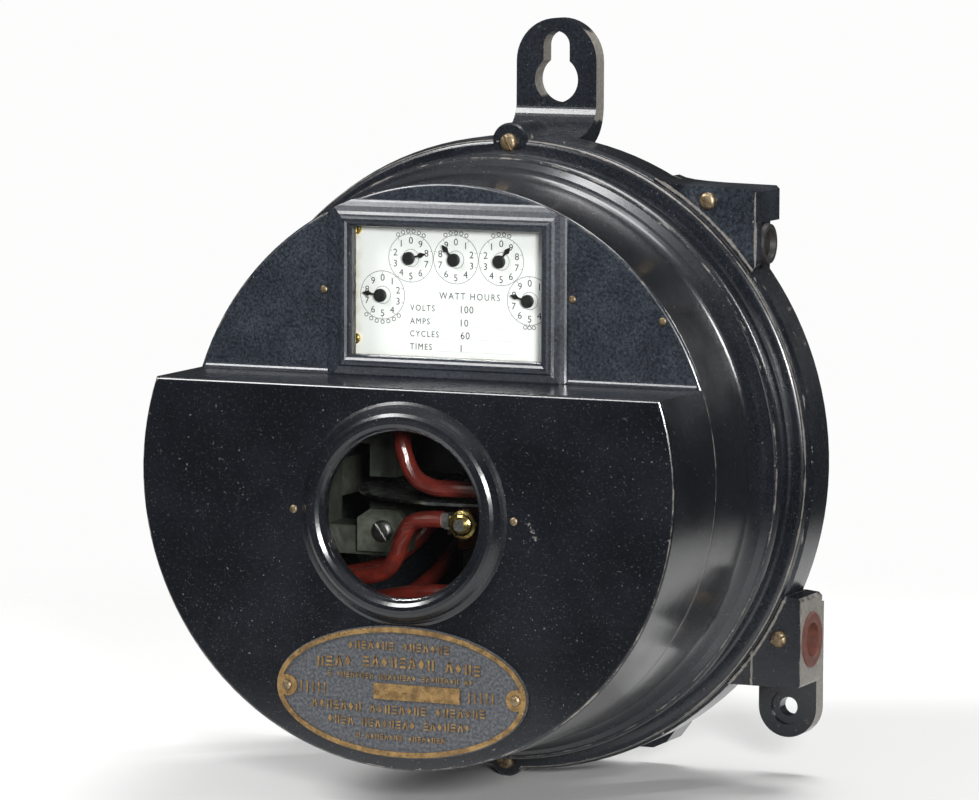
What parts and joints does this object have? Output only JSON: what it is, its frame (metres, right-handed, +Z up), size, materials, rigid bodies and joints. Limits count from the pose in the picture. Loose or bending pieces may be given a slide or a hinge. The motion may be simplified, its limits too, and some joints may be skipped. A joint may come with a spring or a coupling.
{
  "type": "analog dial electric meter",
  "caption": "Round wall-hung watt-hour meter with a stepped black drum cover, a register window over pointer dials, a round disc window and an oval plate.",
  "frame": {"origin": "drum axis on the wall plane, at the centre of the base's flat back", "axes": "+X to the viewer's right, +Y into the wall, +Z up"},
  "size_m": [0.268, 0.172, 0.3185],
  "materials": {
    "japanned_iron": "glossy black japan, worn at the edges",
    "aged_brass": "dull, darkened",
    "bright_brass": "polished",
    "red_fibre": "matt vulcanised fibre",
    "black_fibre": "matt",
    "gasket_felt": "pressed felt",
    "grey_iron": "machined cast iron",
    "steel": "bright steel",
    "magnet_steel": "hardened steel, dark",
    "laminations": "stacked iron sheet",
    "coil_tape": "varnished tape",
    "copper_coil": "varnished copper strip",
    "red_insulation": "varnished red cambric",
    "enamel_dial": "white enamel with black printing",
    "pointer_black": "matt black",
    "window_glass": "clear",
    "nameplate_brass": "etched brass with dark ground",
    "disc_aluminium": "bright",
    "jewel": "polished ruby"
  },
  "bodies": {
    "base": {"base_casting": "japanned_iron", "upper_bushings": "black_fibre", "lower_bushings": "red_fibre", "block_screws": "aged_brass", "cover_gasket": "gasket_felt", "movement_frame": "grey_iron", "frame_screws": "steel", "bearing_screw": "aged_brass", "jewel_cup": "jewel", "upper_bearing": "aged_brass", "brake_magnets": "magnet_steel", "magnet_brackets": "grey_iron", "magnet_clamps": "grey_iron", "clamp_screws": "steel", "voltage_core": "laminations", "voltage_coil": "coil_tape", "current_core": "laminations", "current_coils": "copper_coil", "terminal_bracket": "grey_iron", "terminal_board": "black_fibre", "binding_posts": "steel", "terminal_nuts": "bright_brass", "lead_tag": "steel", "line_blocks": "black_fibre", "line_posts": "aged_brass", "upper_lead": "red_insulation", "lower_lead": "red_insulation", "cross_lead": "red_insulation", "register_posts": "aged_brass", "register_back_plate": "aged_brass", "register_front_plate": "aged_brass", "register_pillars": "aged_brass", "worm_cock": "aged_brass", "register_dial": "enamel_dial", "dial_screws": "bright_brass"},
    "cover": {"cover_shell": "japanned_iron", "register_glass": "window_glass", "register_glass_frame": "aged_brass", "disc_window_glass": "window_glass", "disc_window_ring": "aged_brass", "window_pins": "aged_brass", "nameplate": "nameplate_brass", "nameplate_rivets": "aged_brass", "cover_screws": "aged_brass"},
    "rotor": {"disc": "disc_aluminium", "spindle": "steel", "worm": "aged_brass"},
    "worm_shaft": {"worm_arbor": "aged_brass"},
    "train_1": {"wheel_arbor_1": "aged_brass", "pointer_1": "pointer_black"},
    "train_2": {"wheel_arbor_2": "aged_brass", "pointer_2": "pointer_black"},
    "train_3": {"wheel_arbor_3": "aged_brass", "pointer_3": "pointer_black"},
    "train_4": {"wheel_arbor_4": "aged_brass", "pointer_4": "pointer_black"},
    "train_5": {"wheel_arbor_5": "aged_brass", "pointer_5": "pointer_black"}
  },
  "joints": [
    {"name": "cover_pull", "type": "slide", "parent": "base", "child": "cover", "axis": [0, -1, 0], "range_m": [0, 0.2]},
    {"name": "disc_spin", "type": "hinge", "parent": "base", "child": "rotor", "pos_m": [0, -0.075, 0], "axis": [0, 0, 1], "continuous": true},
    {"name": "worm_shaft_spin", "type": "hinge", "parent": "base", "child": "worm_shaft", "pos_m": [0.0173, -0.075, 0.05776], "axis": [0, 1, 0], "continuous": true},
    {"name": "pointer_1_spin", "type": "hinge", "parent": "base", "child": "train_1", "pos_m": [0.0329, -0.1, 0.07059], "axis": [0, 1, 0], "continuous": true},
    {"name": "pointer_2_spin", "type": "hinge", "parent": "base", "child": "train_2", "pos_m": [0.0202, -0.1, 0.0863], "axis": [0, 1, 0], "continuous": true},
    {"name": "pointer_3_spin", "type": "hinge", "parent": "base", "child": "train_3", "pos_m": [0, -0.1, 0.0863], "axis": [0, 1, 0], "continuous": true},
    {"name": "pointer_4_spin", "type": "hinge", "parent": "base", "child": "train_4", "pos_m": [-0.0202, -0.1, 0.0863], "axis": [0, 1, 0], "continuous": true},
    {"name": "pointer_5_spin", "type": "hinge", "parent": "base", "child": "train_5", "pos_m": [-0.0329, -0.1, 0.07059], "axis": [0, 1, 0], "continuous": true}
  ],
  "couplings": [
    {"joint": "worm_shaft_spin", "follows": "disc_spin", "ratio": -0.016667},
    {"joint": "pointer_1_spin", "follows": "disc_spin", "ratio": 0.0016667},
    {"joint": "pointer_2_spin", "follows": "disc_spin", "ratio": -0.00016667},
    {"joint": "pointer_3_spin", "follows": "disc_spin", "ratio": 0.000016667},
    {"joint": "pointer_4_spin", "follows": "disc_spin", "ratio": -0.0000016667},
    {"joint": "pointer_5_spin", "follows": "disc_spin", "ratio": 0.00000016667}
  ]
}
